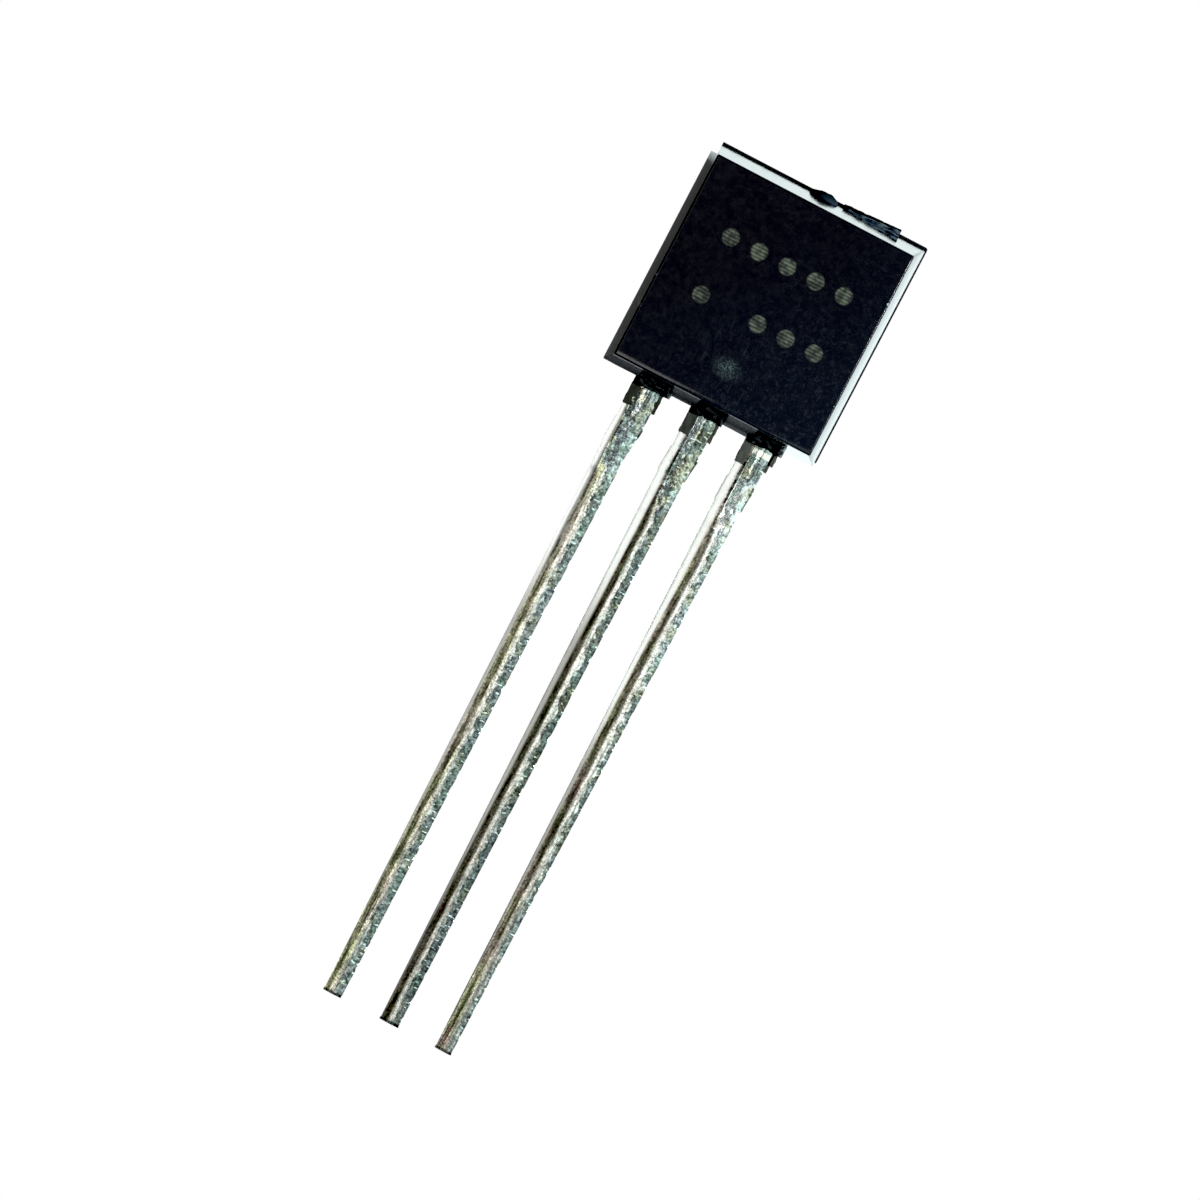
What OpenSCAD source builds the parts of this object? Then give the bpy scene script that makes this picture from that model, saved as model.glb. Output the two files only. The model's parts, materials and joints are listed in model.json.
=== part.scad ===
// Small plastic transistor in a TO-92 package: three flat tinned leads, one of them with
// the pad that carries the chip, and a half-round resin body moulded around them.
//
// The pieces are drawn in the body's own frame: X runs across the leads, Y from the leads
// to the top of the body, and Z out of the flat face. Z = 0 is the middle plane of the
// leads, where the two halves of the mould meet, and Y = 0 is the foot of the body there.
// The finished part then lies as it comes to rest: on the lower edge of its round back and
// on its three lead tips, with the flat face up.

/* [Body] */
// Width of the body where the mould parts
body_w = 4.73; // [4.4:0.01:5.2]
// Height of the body where the mould parts
body_h = 4.89; // [4.6:0.01:5.4]
// Depth of the front half, from the middle of the leads to the flat face
front_d = 1.5; // [1.35:0.01:1.8]
// Slope of the two sides of the front half, in degrees
side_draft = 6; // [3:0.5:9]
// Slope of the top and of the foot, in degrees
end_draft = 7.5; // [4:0.5:10]
// Step to the right from the front half to the back half, where the mould didn't quite meet
step_x = 0.05; // [0.02:0.01:0.1]
// Step upwards from the front half to the back half
step_y = 0.07; // [0.02:0.01:0.1]
// Width of the slanted upper corner above the first lead
corner_w = 0.14; // [0.08:0.01:0.3]
// Height of that slanted corner
corner_h = 0.2; // [0.1:0.01:0.4]

/* [Leads] */
// Distance from one lead to the next
pitch = 1.27; // [1.15:0.01:1.35]
// Thickness of the leads
lead_t = 0.4; // [0.35:0.01:0.45]
// Length of a lead below the body
lead_len = 13.9; // [8:0.1:20]
// Width of a lead where it leaves the body
root_w = 0.64; // [0.56:0.01:0.7]
// Width of a lead at its tip
tip_w = 0.4; // [0.3:0.01:0.5]
// Distance from the body to the cut tie bar
tie_gap = 0.92; // [0.8:0.01:1.2]
// Height of the cut tie bar
tie_h = 0.54; // [0.3:0.01:0.8]
// What the cut left of the tie bar on each side of a lead
tie_stub = 0.02; // [0.01:0.005:0.05]

/* [Resin left by the mould] */
// Length of the broken gate along the top of the body
gate_w = 1.24; // [0.8:0.01:1.6]
// Height of the broken gate above the top of the back half
gate_h = 0.1; // [0.05:0.01:0.2]
// Thickness of the broken gate, front to back
gate_t = 0.44; // [0.3:0.01:0.7]
// Distance from the gate to the right side of the front half
gate_edge = 0.6; // [0.4:0.01:0.9]
// Drop of the resin collar in front of each lead, below the foot of the body
collar_drop = 0.14; // [0.08:0.01:0.2]
// Height of that collar above the foot of the body
collar_rise = 0.12; // [0.08:0.01:0.16]
// Thickness of the collar in front of the lead at its lower edge
collar_t = 0.22; // [0.1:0.01:0.4]
// Drop of the foot of the body between the first two leads
web_drop_left = 0.06; // [0.03:0.01:0.12]
// Drop of the foot of the body between the last two leads
web_drop_right = 0.11; // [0.03:0.01:0.12]
// Length of the resin skin down the sides of each lead
skin_len = 0.6; // [0.3:0.01:0.75]
// Thickness of that skin
skin_t = 0.02; // [0.01:0.005:0.05]
// Width of the lump of resin beside the last lead
lump_w = 0.2; // [0.1:0.01:0.3]
// Height of that lump
lump_h = 0.26; // [0.15:0.01:0.35]

/* [Inside the body] */
// Height of the two wire posts above the foot of the body
post_top = 1.75; // [1.4:0.01:2]
// Width of the head of a wire post
post_w = 0.84; // [0.75:0.01:0.95]
// Height of the head of a wire post
post_h = 0.6; // [0.4:0.01:0.8]
// Gap between the wire posts and the chip pad
pad_gap = 0.4; // [0.25:0.01:0.5]
// Width of the chip pad
pad_w = 2.7; // [2.2:0.01:3]
// Height of the chip pad
pad_h = 1.7; // [1.3:0.01:1.9]
// Diameter of the resin lock hole in the chip pad
lock_d = 0.5; // [0.3:0.01:0.7]
// Distance of the lock hole from the edges of the chip pad
lock_edge = 0.5; // [0.45:0.01:0.7]
// Radius of the notches that keep a lead from being pulled out
notch_r = 0.14; // [0.08:0.01:0.18]
// Height of the notches above the foot of the body
notch_y = 0.6; // [0.4:0.01:0.8]
// Side of the square chip
die_w = 0.5; // [0.35:0.01:0.6]
// Thickness of the chip
die_t = 0.22; // [0.15:0.01:0.3]
// Distance from the lower edge of the chip pad to the chip
die_edge = 0.45; // [0.3:0.01:0.6]
// How far the solder under the chip shows around it
solder_rim = 0.04; // [0.02:0.01:0.1]
// Thickness of the solder under the chip
solder_t = 0.03; // [0.02:0.005:0.05]
// Diameter of the gold wires
wire_d = 0.04; // [0.03:0.005:0.05]
// Height of the wire loop above the straight line between its ends
loop_rise = 0.34; // [0.25:0.01:0.5]
// Distance between the two bonds on the chip
bond_gap = 0.22; // [0.16:0.01:0.26]
// Diameter of the flattened ends of a wire
bond_d = 0.11; // [0.08:0.005:0.14]
// Thickness of the flattened ends of a wire
bond_t = 0.035; // [0.025:0.005:0.05]
// Distance from the top of a wire post to the wire's end on it
stitch_edge = 0.25; // [0.12:0.01:0.35]

/* [Hidden] */
$fn = 64;

// Overlap of shapes that are joined or cut, so that no face is shared by accident
over = 0.3;

// The round back has the radius of half the body
back_r = body_w / 2;
// How far the slopes draw in over the depth of the front half and of the back half
side_in = front_d * tan(side_draft);
front_in = front_d * tan(end_draft);
back_in = back_r * tan(end_draft);
// Foot and top of the back half
back_foot = step_y;
back_top = body_h + step_y;

lead_x = [-pitch, 0, pitch];
lead_front = lead_t / 2;
gate_right = body_w / 2 - gate_edge;
gate_top = back_top + gate_h;
tie_foot = tie_gap + tie_h;

pad_left = -pitch - root_w / 2;
pad_foot = post_top + pad_gap;
pad_top = pad_foot + pad_h;
die_x = pad_left + pad_w / 2;
die_y = pad_foot + die_edge + die_w / 2;
solder_top = lead_front + solder_t;
die_top = solder_top + die_t;
stitch_y = post_top - stitch_edge;

// The part lies on the lower edge of its back and on the rear edges of its lead tips
rest_y = back_foot + back_in;
tilt = atan2(back_r - lead_t / 2, lead_len + rest_y);
ground = rest_y * sin(tilt) - back_r * cos(tilt);
reach_low = -lead_len * cos(tilt) - lead_t / 2 * sin(tilt);
reach_high = max(back_top * cos(tilt), gate_top * cos(tilt) + gate_t / 2 * sin(tilt));

// Lays the part down and centres the space it fills over the origin
module laid_down() {
    translate([-step_x / 2, -(reach_low + reach_high) / 2, -ground])
        rotate([tilt, 0, 0])
            children();
}

// Extrudes an outline of (Y, Z) points along X, from one X to another
module across(from_x, to_x) {
    translate([from_x, 0, 0])
        rotate([90, 0, 90])
            linear_extrude(to_x - from_x)
                children();
}

// Extrudes an outline of (X, Z) points along Y, from one Y to another
module upwards(from_y, to_y) {
    translate([0, to_y, 0])
        rotate([90, 0, 0])
            linear_extrude(to_y - from_y)
                children();
}

// ---- Leads ------------------------------------------------------------------------------

// One lead from its tip to inside the body: it narrows evenly from the tie bar to the tip
module lead_blade(inner_top) {
    half_root = root_w / 2;
    half_tie = half_root + tie_stub;
    translate([0, 0, -lead_t / 2])
        linear_extrude(lead_t)
            difference() {
                union() {
                    polygon([
                        [-tip_w / 2, -lead_len], [tip_w / 2, -lead_len],
                        [half_root, -tie_foot], [half_root, inner_top],
                        [-half_root, inner_top], [-half_root, -tie_foot]
                    ]);
                    translate([-half_tie, -tie_foot])
                        square([2 * half_tie, tie_h]);
                }
                for (side = [-1, 1])
                    translate([side * half_root, notch_y])
                        circle(r = notch_r);
            }
}

// Lead with the wide head that a gold wire is bonded to
module post_lead() {
    lead_blade(post_top - post_h / 2);
    translate([-post_w / 2, post_top - post_h, -lead_t / 2])
        cube([post_w, post_h, lead_t]);
}

module collector_shape() {
    translate([lead_x[0], 0, 0])
        lead_blade(pad_foot + over);
    difference() {
        translate([pad_left, pad_foot, -lead_t / 2])
            cube([pad_w, pad_h, lead_t]);
        translate([pad_left + lock_edge, pad_top - lock_edge, -lead_t])
            cylinder(d = lock_d, h = 2 * lead_t);
    }
}

module base_shape() {
    translate([lead_x[1], 0, 0])
        post_lead();
}

module emitter_shape() {
    translate([lead_x[2], 0, 0])
        post_lead();
}

// ---- Chip and wires ---------------------------------------------------------------------

module solder_shape() {
    side = die_w + 2 * solder_rim;
    translate([die_x - side / 2, die_y - side / 2, lead_front])
        cube([side, side, solder_t]);
}

module chip_shape() {
    translate([die_x - die_w / 2, die_y - die_w / 2, solder_top])
        cube([die_w, die_w, die_t]);
}

// Gold wire in an even arc from the chip to a post, with its two flattened ends
module wire_shape(chip_at, post_at) {
    run = post_at - chip_at;
    span = norm(run);
    drop = die_top - lead_front;
    chord = norm([span, drop]);
    slope = atan2(drop, span);
    loop_r = (chord * chord / 4 + loop_rise * loop_rise) / (2 * loop_rise);
    half_turn = asin(chord / 2 / loop_r);
    centre_drop = loop_r - loop_rise;
    difference() {
        union() {
            translate([chip_at.x, chip_at.y, 0])
                rotate([0, 0, atan2(run.y, run.x)])
                    translate([
                        span / 2 - centre_drop * sin(slope),
                        0,
                        (die_top + lead_front) / 2 - centre_drop * cos(slope)
                    ])
                        rotate([90, 0, 0])
                            rotate([0, 0, 90 - slope - half_turn])
                                rotate_extrude(angle = 2 * half_turn)
                                    translate([loop_r, 0])
                                        circle(d = wire_d);
            translate([chip_at.x, chip_at.y, die_top])
                cylinder(d = bond_d, h = bond_t);
            translate([post_at.x, post_at.y, lead_front])
                cylinder(d = bond_d, h = bond_t);
        }
        chip_shape();
        translate([post_at.x - post_w / 2, post_at.y - post_h / 2, -lead_t / 2])
            cube([post_w, post_h, lead_t]);
    }
}

module base_wire_shape() {
    wire_shape([die_x - bond_gap / 2, die_y], [lead_x[1], stitch_y]);
}

module emitter_wire_shape() {
    wire_shape([die_x + bond_gap / 2, die_y], [lead_x[2], stitch_y]);
}

// ---- Moulded body -----------------------------------------------------------------------

// Front half: its sides, top and foot all slope in towards the flat face
module front_half() {
    intersection() {
        upwards(0, body_h)
            polygon([
                [-body_w / 2, 0], [body_w / 2, 0],
                [body_w / 2 - side_in, front_d], [side_in - body_w / 2, front_d]
            ]);
        across(-body_w / 2, body_w / 2)
            polygon([[0, 0], [body_h, 0], [body_h - front_in, front_d], [front_in, front_d]]);
    }
}

// Back half: a half-round bar with a sloped top and foot
module back_half() {
    translate([step_x, 0, 0])
        intersection() {
            upwards(back_foot, back_top)
                intersection() {
                    circle(r = back_r);
                    translate([-back_r, -back_r])
                        square([2 * back_r, back_r]);
                }
            across(-back_r, back_r)
                polygon([
                    [back_foot, 0], [back_top, 0],
                    [back_top - back_in, -back_r], [back_foot + back_in, -back_r]
                ]);
        }
}

// What the slanted upper corner takes off both halves
module corner_cut() {
    translate([-body_w / 2, body_h, -back_r - over])
        linear_extrude(back_r + front_d + 2 * over)
            polygon([
                [0, -corner_h], [corner_w, 0],
                [corner_w, over], [-over, over], [-over, -corner_h]
            ]);
}

// Where the resin came in: a wedge that broke off higher towards the right
module gate_stub() {
    translate([0, 0, -gate_t / 2])
        linear_extrude(gate_t)
            polygon([
                [gate_right - gate_w, back_top - over], [gate_right, back_top - over],
                [gate_right, gate_top], [gate_right - gate_w, back_top]
            ]);
}

// Resin that crept out in front of one lead
module collar(x) {
    across(x - root_w / 2 - skin_t, x + root_w / 2 + skin_t)
        polygon([
            [-collar_drop, lead_front], [-collar_drop, lead_front + collar_t],
            [collar_rise, collar_rise / tan(end_draft) + collar_t / 2], [over, lead_front]
        ]);
}

// Resin skin on both sides of one lead, up to where the tie bar was
module skin(x) {
    half = root_w / 2 + skin_t;
    translate([x - half, -skin_len, -lead_t / 2])
        cube([2 * half, skin_len + over, lead_t]);
}

// Foot of the body between two leads, where its slope runs on behind the leads
module web(from_x, to_x, drop) {
    back = drop / tan(end_draft);
    across(from_x, to_x)
        polygon([[over, 0], [0, 0], [-drop, -back], [over, -back]]);
}

// Broken lump beside the last lead
module lump() {
    left = lead_x[2] + root_w / 2;
    translate([left, -lump_h / 2, -lead_t / 2])
        linear_extrude(lead_t)
            polygon([[0, 0], [lump_w, lump_h / 4], [lump_w, lump_h * 3 / 4], [0, lump_h]]);
}

module moulded_shape() {
    difference() {
        union() {
            difference() {
                union() {
                    front_half();
                    back_half();
                }
                corner_cut();
            }
            gate_stub();
            web(lead_x[0], lead_x[1], web_drop_left);
            web(lead_x[1], lead_x[2], web_drop_right);
            lump();
            for (x = lead_x) {
                collar(x);
                skin(x);
            }
        }
        collector_shape();
        base_shape();
        emitter_shape();
        solder_shape();
        chip_shape();
        base_wire_shape();
        emitter_wire_shape();
    }
}

// ---- The part ---------------------------------------------------------------------------

module moulded_body() {
    color([0.05, 0.055, 0.075]) laid_down() moulded_shape();
}

module collector_lead() {
    color([0.72, 0.74, 0.72]) laid_down() collector_shape();
}

module base_lead() {
    color([0.72, 0.74, 0.72]) laid_down() base_shape();
}

module emitter_lead() {
    color([0.72, 0.74, 0.72]) laid_down() emitter_shape();
}

module silicon_chip() {
    color([0.32, 0.34, 0.42]) laid_down() chip_shape();
}

module chip_solder() {
    color([0.6, 0.6, 0.62]) laid_down() solder_shape();
}

module base_wire() {
    color([0.9, 0.7, 0.25]) laid_down() base_wire_shape();
}

module emitter_wire() {
    color([0.9, 0.7, 0.25]) laid_down() emitter_wire_shape();
}

moulded_body();
collector_lead();
base_lead();
emitter_lead();
silicon_chip();
chip_solder();
base_wire();
emitter_wire();
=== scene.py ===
# %% [markdown]
# # A small transistor, lying on its back
#
# This lesson dresses a packed CAD model of a TO-92 transistor: a black resin body with a flat
# front, and three long tinned leads. The CAD model fixes every size. Blender adds what a mould,
# a press and a tin bath leave behind: soft edges, flash, a broken gate and a crackled coat.
#
# The object is under 20 mm long, and bmesh works best on numbers near one. So every piece is
# built in millimetres in the body's own frame, and laid down into the row frame at the end.

# %% Load the frame
import json
import math

import bmesh
import bpy
from mathutils import Matrix, Vector, noise


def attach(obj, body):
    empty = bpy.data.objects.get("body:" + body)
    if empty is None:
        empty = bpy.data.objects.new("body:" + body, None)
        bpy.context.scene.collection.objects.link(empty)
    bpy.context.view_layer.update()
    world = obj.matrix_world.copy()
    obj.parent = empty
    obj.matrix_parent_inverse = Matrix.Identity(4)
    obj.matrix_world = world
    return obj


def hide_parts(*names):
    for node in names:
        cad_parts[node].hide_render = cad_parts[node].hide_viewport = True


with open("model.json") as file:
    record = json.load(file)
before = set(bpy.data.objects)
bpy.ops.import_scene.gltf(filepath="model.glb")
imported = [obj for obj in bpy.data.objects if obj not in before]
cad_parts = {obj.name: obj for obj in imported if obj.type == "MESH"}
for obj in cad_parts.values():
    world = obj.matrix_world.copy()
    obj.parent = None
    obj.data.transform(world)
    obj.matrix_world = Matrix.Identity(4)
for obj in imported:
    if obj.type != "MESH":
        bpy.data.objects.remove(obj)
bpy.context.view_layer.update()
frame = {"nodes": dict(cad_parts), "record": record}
mounts = {mount["name"]: mount for mount in frame["record"]["mounts"]}
print("CAD nodes:", sorted(frame["nodes"]))

# %% [markdown]
# ## Two frames
#
# The part lies tilted, on the edge of its back and on its lead tips. In the body's own frame X
# runs across the leads, Y up the body and Z out of the flat face, and the numbers stay simple.
# The frame's record says which way the flat looks and where the middle lead ends, and that is
# all it takes to build the matrix that lays a piece down.

# %% The matrix that lays a piece down
MM = 0.001
LEAD_LENGTH = 13.9

out_of_flat = Vector(mounts["flat_face"]["axis"]).normalized()
across_leads = Vector((1, 0, 0))
up_body = out_of_flat.cross(across_leads)
foot_of_body = Vector(mounts["base_tip"]["pos_m"]) + up_body * LEAD_LENGTH * MM
turn = Matrix((across_leads, up_body, out_of_flat)).transposed()
LAID = Matrix.Translation(foot_of_body) @ turn.to_4x4() @ Matrix.Scale(MM, 4)
TILT = math.asin(-out_of_flat.y)


def own_place(point):
    """A point of the row frame in the body's own frame, in millimetres."""
    return LAID.inverted() @ Vector(point)


def own_box(node):
    """Lowest and highest corner of a CAD node in the body's own frame, in millimetres."""
    places = [own_place(vert.co) for vert in frame["nodes"][node].data.vertices]
    low = Vector([min(place[i] for place in places) for i in range(3)])
    high = Vector([max(place[i] for place in places) for i in range(3)])
    return low, high


print(f"the flat face leans {math.degrees(TILT):.2f} degrees off the horizontal")

# %% Sizes read from the frame
body_low, body_high = own_box("moulded_body")

FRONT_DEPTH = body_high.z
BACK_RADIUS = -body_low.z
HALF_WIDTH = BACK_RADIUS
BODY_HEIGHT = 2 * own_place(mounts["flat_face"]["pos_m"]).y
STEP_X = body_high.x - HALF_WIDTH
GATE_TOP = body_high.y
LEAD_HALF_T = own_box("base_lead")[1].z
LEAD_X = [own_place(mounts[end + "_tip"]["pos_m"]).x for end in ("collector", "base", "emitter")]
PITCH = LEAD_X[1] - LEAD_X[0]
print(f"body {2 * HALF_WIDTH:.2f} x {BODY_HEIGHT:.2f} mm, leads {PITCH:.2f} mm apart")

# %% [markdown]
# ## Camera
#
# A long lens from 200 mm away keeps the sides of the body almost parallel. The camera looks
# down nearly along the flat face's normal, a little from the top of the body, and it is rolled
# so that the part runs from the lower left to the upper right of the frame.

# %% Camera
CAMERA_DISTANCE = 0.2
CAMERA_UPWARDS = 2.57
CAMERA_SIDEWAYS = -0.46
CAMERA_ROLL = 27.6
CAMERA_FIELD = 6.9
AIM = Vector((-0.00019, 0.00002, 0.002))


def direction(sideways, upwards):
    """Unit vector that many degrees off the flat's normal, to the right and up the body."""
    own = Vector((math.tan(math.radians(sideways)), math.tan(math.radians(upwards)), 1))
    return (turn @ own).normalized()


def facing(towards):
    """Turn of a camera or light that looks back from there, its upper side up the body."""
    right = up_body.cross(towards).normalized()
    return Matrix((right, towards.cross(right), towards)).transposed()


def in_scene(name, data):
    """A new object at the origin of the scene."""
    made = bpy.data.objects.new(name, data)
    bpy.context.scene.collection.objects.link(made)
    return made


camera_data = bpy.data.cameras.new("camera")
camera_data.angle = math.radians(CAMERA_FIELD)
camera_data.clip_start = 0.01
camera = in_scene("camera", camera_data)
bpy.context.scene.camera = camera
towards_camera = direction(CAMERA_SIDEWAYS, CAMERA_UPWARDS)
camera.location = AIM + towards_camera * CAMERA_DISTANCE
roll = Matrix.Rotation(math.radians(CAMERA_ROLL), 3, "Z")
camera.rotation_euler = (facing(towards_camera) @ roll).to_euler()
print(f"camera {CAMERA_DISTANCE * 1000:.0f} mm away, lens {camera_data.lens:.0f} mm")

# %% [markdown]
# ## Short calls for materials
#
# Materials here are node graphs. This small class adds a node and links it in one call, so that
# a material reads from its coordinates to its shader. `own_coords` gives it the body's own
# frame in millimetres: a Mapping node turns Object coordinates back.

# %% A class that paints
class Paint:
    """A material whose nodes are added and linked with short calls."""

    def __init__(self, name):
        self.material = bpy.data.materials.new(name)
        self.material.use_nodes = True
        self.tree = self.material.node_tree
        self.shader = self.tree.nodes["Principled BSDF"]

    def feed(self, socket, value):
        """Links a socket to another node's output, or gives it a plain value."""
        if hasattr(value, "is_linked"):
            self.tree.links.new(value, socket)
        else:
            socket.default_value = value

    def node(self, kind, inputs, **settings):
        made = self.tree.nodes.new("ShaderNode" + kind)
        for key, value in settings.items():
            setattr(made, key, value)
        for key, value in inputs.items():
            self.feed(made.inputs[key], value)
        return made

    def set(self, **values):
        for name, value in values.items():
            self.feed(self.shader.inputs[name.replace("_", " ")], value)

    def own_coords(self):
        """Object coordinates, turned back into the body's own frame in millimetres."""
        coords = self.node("TexCoord", {})
        inputs = {
            "Vector": coords.outputs["Object"],
            "Location": -(turn.transposed() @ foot_of_body) / MM,
            "Rotation": (-TILT, 0, 0),
            "Scale": (1 / MM, 1 / MM, 1 / MM),
        }
        return self.node("Mapping", inputs).outputs["Vector"]

    def split(self, coords):
        return self.node("SeparateXYZ", {"Vector": coords}).outputs

    def noise(self, coords, size, detail=3.0, rough=0.5, scale=None):
        """Smooth noise from 0 to 1, with features of about that size. A scale stretches them."""
        if scale:
            coords = self.node("Mapping", {"Vector": coords, "Scale": scale}).outputs["Vector"]
        inputs = {"Vector": coords, "Scale": 1 / size, "Detail": detail, "Roughness": rough}
        return self.node("TexNoise", inputs).outputs["Fac"]

    def fit(self, value, low, high, to_low=0.0, to_high=1.0):
        """Eases a value from one range into another."""
        inputs = {
            "Value": value, "From Min": low, "From Max": high,
            "To Min": to_low, "To Max": to_high,
        }
        return self.node("MapRange", inputs, interpolation_type="SMOOTHSTEP").outputs["Result"]

    def calc(self, operation, *values):
        inputs = dict(enumerate(values))
        return self.node("Math", inputs, operation=operation).outputs["Value"]

    def scale(self, value, factor):
        return self.calc("MULTIPLY", value, factor)

    def line(self, value, factor, start):
        """A straight line: the value times the factor, plus the start."""
        return self.calc("MULTIPLY_ADD", value, factor, start)

    def mix(self, share, first, second, blend="MIX"):
        """Mixes two colours."""
        made = self.node("Mix", {}, data_type="RGBA", blend_type=blend)
        for socket, value in ((0, share), (6, first), (7, second)):
            self.feed(made.inputs[socket], value)
        return made.outputs[2]

    def times(self, colour, factor):
        """A colour made lighter or darker by a factor."""
        return self.mix(1.0, colour, factor, "MULTIPLY")

    def length(self, x, y):
        """Distance of the point (x, y) from zero."""
        flat = self.node("CombineXYZ", {"X": x, "Y": y}).outputs["Vector"]
        return self.node("VectorMath", {0: flat}, operation="LENGTH").outputs["Value"]

    def band(self, value, low, high, soft):
        """1 between low and high, with soft borders."""
        rise = self.fit(value, low - soft, low + soft)
        return self.scale(rise, self.fit(value, high + soft, high - soft))

    def bump(self, height, depth, normal=None):
        """Bump whose height of 1 stands depth millimetres out of the surface."""
        inputs = {"Height": height, "Strength": 1.0, "Distance": depth * MM}
        if normal:
            inputs["Normal"] = normal
        return self.node("Bump", inputs).outputs["Normal"]


print("Paint can:", [name for name in vars(Paint) if not name.startswith("_")])

# %% [markdown]
# ## Floor and light
#
# Black resin and bright tin show their shape by what they mirror. The sloped sides of the body
# mirror the table beside them, so a strong soft box low on the right makes the right and the
# upper side white, and the body's own shadow keeps the other two dull. Above the part the studio
# is dark, which keeps the flat face black and draws a dark line down each lead. A narrow strip
# just left of the zenith draws the white line beside it, and a card far to the left pales the
# leads' left flank. Three dim panels fill the gaps: olive and grey ones on the left, and one
# the colour of slate on the right.
#
# The table and the walls are exposed to white: to the camera they look paler than the part
# finds them, so no shadow shows. Light Path's Is Camera Ray keeps the two apart.

# %% Lights
WARM_WHITE = (1.0, 0.985, 0.955)
KEY_COLOUR = (0.88, 1.0, 1.0)
SLATE_COLOUR = (0.88, 1.0, 0.97)
OLIVE_COLOUR = (1.0, 0.96, 0.75)
LIGHT_DISTANCE = 0.4


def soft_box(name, sideways, upwards, size, radiance, colour):
    """An area light that faces the part from that many degrees off the flat's normal."""
    data = bpy.data.lights.new(name, "AREA")
    data.shape = "RECTANGLE"
    data.size, data.size_y = size
    data.energy = radiance * math.pi * size[0] * size[1]
    data.color = colour
    light = in_scene(name, data)
    towards = direction(sideways, upwards)
    light.location = AIM + towards * LIGHT_DISTANCE
    light.rotation_euler = facing(towards).to_euler()
    light.visible_camera = False


soft_box("key", 56, 8, (0.045, 0.045), 1340, KEY_COLOUR)
soft_box("strip", -10, 0, (0.058, 0.22), 3.0, WARM_WHITE)
soft_box("olive", -34, 0, (0.18, 0.24), 0.12, OLIVE_COLOUR)
soft_box("shade", -55, 0, (0.11, 0.24), 0.35, WARM_WHITE)
soft_box("card", -73, 0, (0.14, 0.24), 1.5, WARM_WHITE)
soft_box("slate", 18.5, 0, (0.175, 0.24), 0.9, SLATE_COLOUR)
print("soft boxes:", [light.name for light in bpy.data.lights])

# %% Floor
FLOOR_RADIUS = 0.6
FLOOR_SIDES = 64
TABLE_WHITE = (0.6, 0.6, 0.6, 1)
PALE = (1, 1, 1, 1)

floor_bm = bmesh.new()
bmesh.ops.create_circle(floor_bm, cap_ends=True, segments=FLOOR_SIDES, radius=FLOOR_RADIUS)
floor_mesh = bpy.data.meshes.new("floor")
floor_bm.to_mesh(floor_mesh)
floor_bm.free()
floor = in_scene("floor", floor_mesh)

table = Paint("white_table")
table.set(Base_Color=TABLE_WHITE, Roughness=0.9, Specular_IOR_Level=0.1)
pale = table.node("Emission", {"Color": PALE, "Strength": 1.0}).outputs["Emission"]
seen = table.node("LightPath", {}).outputs["Is Camera Ray"]
both = table.node("MixShader", {0: seen, 1: table.shader.outputs[0], 2: pale})
table.feed(table.tree.nodes["Material Output"].inputs["Surface"], both.outputs[0])
floor_mesh.materials.append(table.material)
print(f"a round table, {2 * FLOOR_RADIUS:.1f} m across")

# %% World
DIM = (0.07, 0.07, 0.075, 1)
BLACK_LEVEL = 0.02

world = bpy.data.worlds.new("studio")
bpy.context.scene.world = world
world.use_nodes = True
sky = world.node_tree
sky_seen = sky.nodes.new("ShaderNodeLightPath").outputs["Is Camera Ray"]
sky_mix = sky.nodes.new("ShaderNodeMix")
sky_mix.data_type = "RGBA"
sky_mix.inputs[6].default_value = DIM
sky_mix.inputs[7].default_value = PALE
sky.links.new(sky_seen, sky_mix.inputs[0])
sky.links.new(sky_mix.outputs[2], sky.nodes["Background"].inputs["Color"])

view = bpy.context.scene.view_settings
view.view_transform = "Standard"
view.use_curve_mapping = True
view.curve_mapping.black_level = (BLACK_LEVEL, BLACK_LEVEL, BLACK_LEVEL)
view.curve_mapping.update()
print("a dim studio that looks white to the camera")

# %% [markdown]
# ## Small tools for meshes
#
# Shapes are made as blanks, joined or cut with booleans, and handed over as one piece. A blank
# carries the number of its finish on its faces, so that a moulded face and a torn one stay
# apart after the booleans.

# %% Numbers that blend
ROOM = 1e-4


def near(value, target):
    return abs(value - target) < ROOM


def mix(first, second, share):
    return first + (second - first) * share


def ease(value, low, high):
    """0 below low, 1 above high, and smooth in between."""
    share = min(1.0, max(0.0, (value - low) / (high - low)))
    return share * share * (3 - 2 * share)


print("halfway from 2 to 4, eased:", mix(2, 4, ease(0.5, 0, 1)))

# %% Blanks and cuts
SORT_WAY = Vector((1, 10.3, 107.7))


def in_order(bm):
    """Sorts everything along a slanting line, because some operators leave it in any order."""
    bm.verts.sort(key=lambda vert: vert.co.dot(SORT_WAY))
    bm.edges.sort(key=lambda edge: (edge.verts[0].co + edge.verts[1].co).dot(SORT_WAY))
    bm.faces.sort(key=lambda face: face.calc_center_median().dot(SORT_WAY))


def box(bm, low, high):
    """Adds a box and returns its vertices."""
    low, high = Vector(low), Vector(high)
    place = Matrix.Translation((low + high) / 2) @ Matrix.Diagonal((*(high - low), 1))
    return bmesh.ops.create_cube(bm, size=1, matrix=place)["verts"]


def prism(bm, outline, way):
    """Adds a flat outline of points, extruded by the vector way. Returns the far end's vertices."""
    verts = [bm.verts.new(point) for point in outline]
    face = bmesh.ops.contextual_create(bm, geom=verts)["faces"][0]
    far_end = bmesh.ops.extrude_face_region(bm, geom=[face], use_keep_orig=True)["geom"]
    moved = [item for item in far_end if isinstance(item, bmesh.types.BMVert)]
    bmesh.ops.translate(bm, verts=moved, vec=way)
    return moved


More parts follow.
